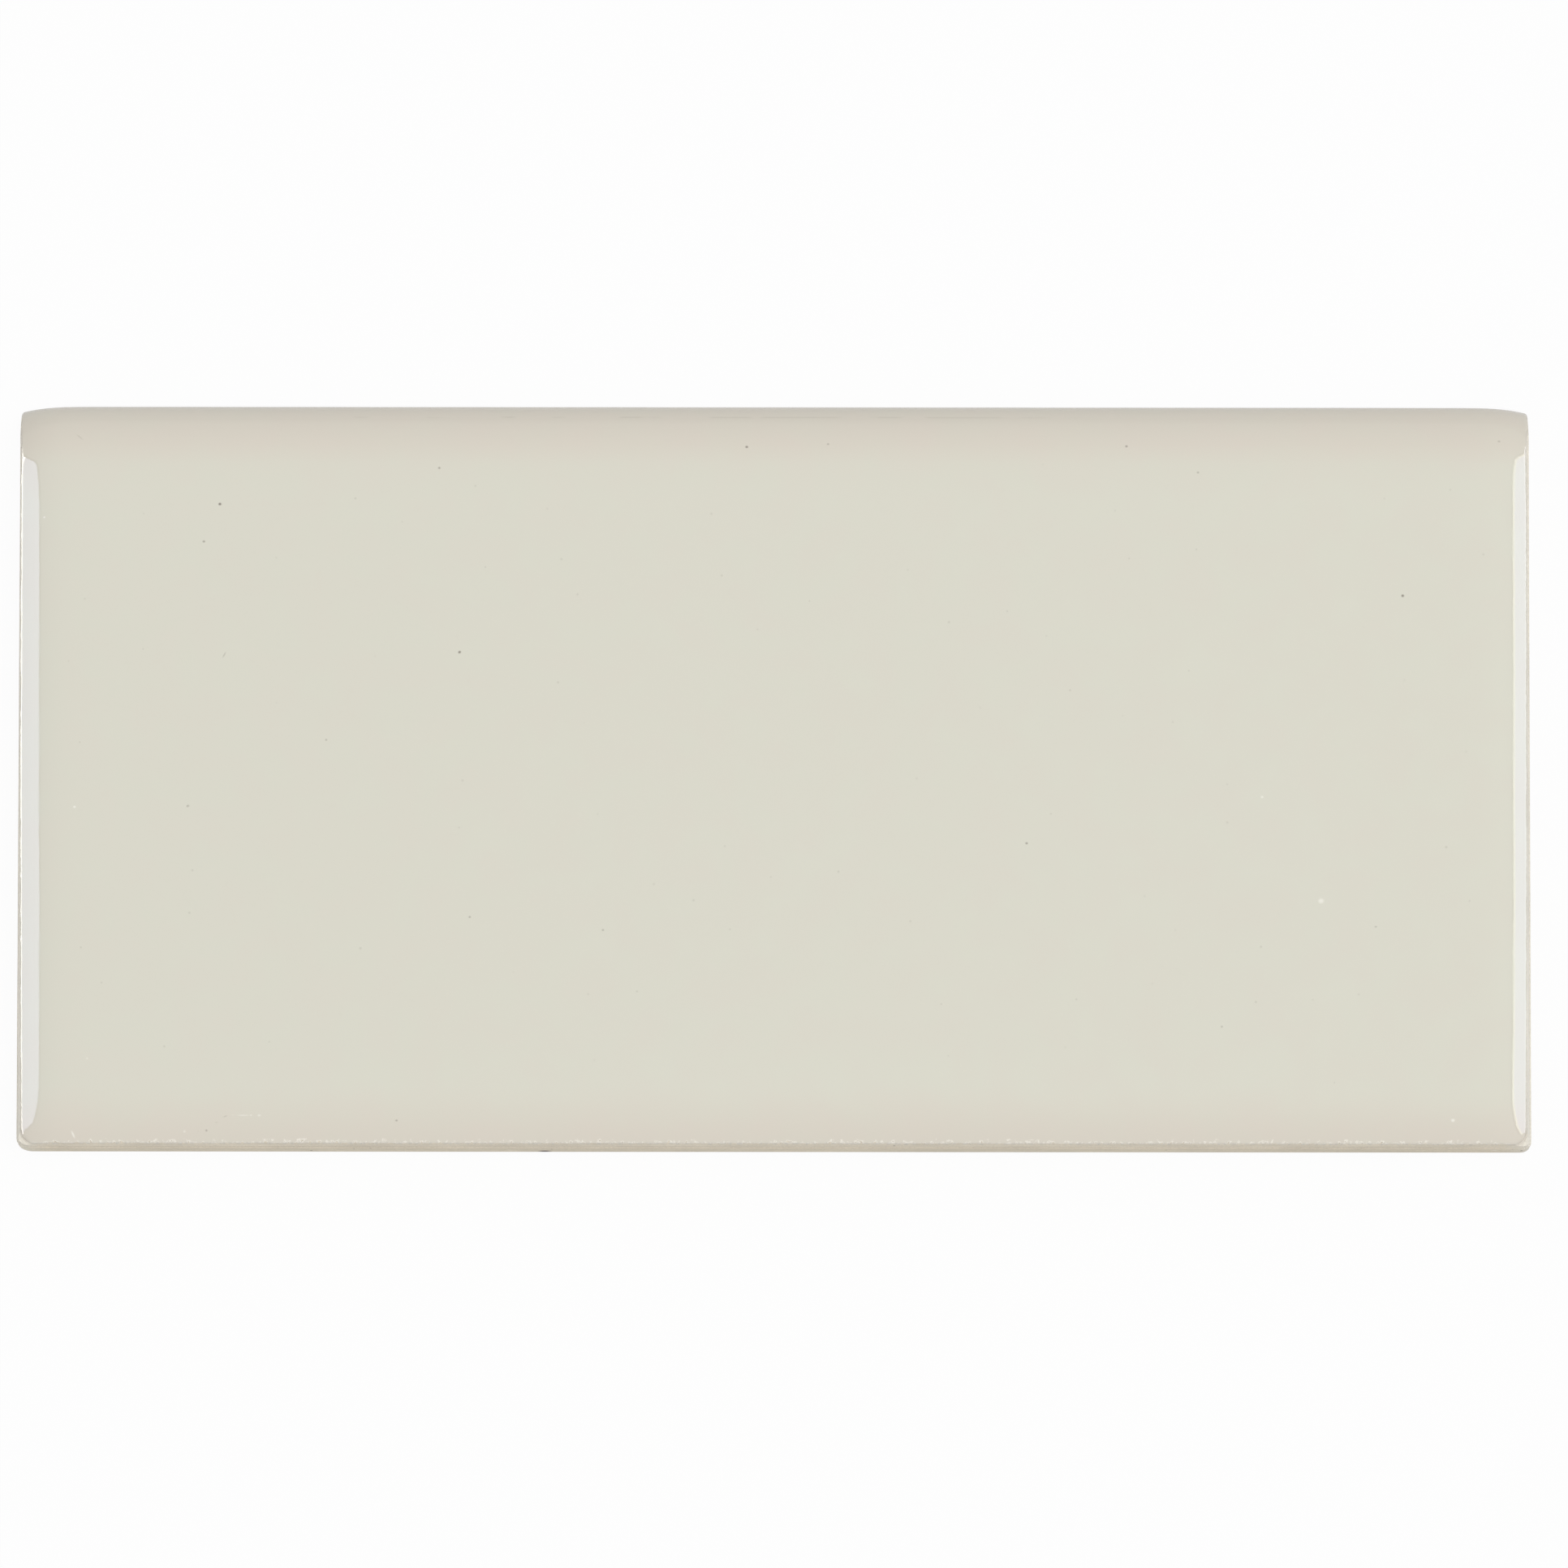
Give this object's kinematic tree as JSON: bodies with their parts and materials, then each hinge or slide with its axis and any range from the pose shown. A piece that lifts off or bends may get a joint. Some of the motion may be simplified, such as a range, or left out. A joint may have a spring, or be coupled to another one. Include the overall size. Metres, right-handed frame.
{
  "type": "bullnose tile",
  "caption": "Rectangular glazed ceramic wall tile with one long edge rounded into a bullnose, the other edges cushioned over an unglazed wall, and a keyed back for bedding.",
  "frame": {"origin": "middle of the back face, on the plane that the tile is bedded on", "axes": "+X along the tile, +Y across it towards the bullnose edge, +Z out of the glazed face"},
  "size_m": [0.1524, 0.0754, 0.0079],
  "materials": {
    "glaze": "gloss"
  },
  "bodies": {
    "root": {"bullnose_tile": "glaze"}
  },
  "joints": []
}
